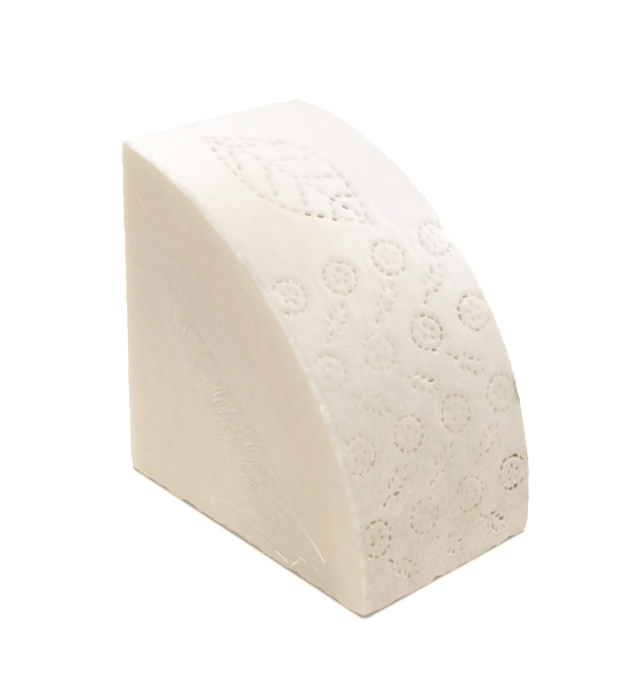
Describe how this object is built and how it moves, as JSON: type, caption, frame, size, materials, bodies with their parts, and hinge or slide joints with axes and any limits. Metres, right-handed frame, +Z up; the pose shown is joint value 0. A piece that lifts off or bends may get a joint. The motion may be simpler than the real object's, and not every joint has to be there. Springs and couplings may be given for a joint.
{
  "type": "pecorino cheese chunk",
  "caption": "Quarter-round chunk of hard sheep's-milk cheese with pale cut faces and a curved rind pressed with small pin marks.",
  "frame": {"origin": "on the table under the middle of the chunk's box", "axes": "+Z up, +Y along the axis of the wheel that the chunk was cut from, from the front cut to the back cut, and +X from the upright cut towards the rind"},
  "size_m": [0.1412, 0.091, 0.1449],
  "materials": {
    "hard_cheese": "matt, slightly waxy"
  },
  "bodies": {
    "root": {"cheese_chunk": "hard_cheese"}
  },
  "joints": []
}
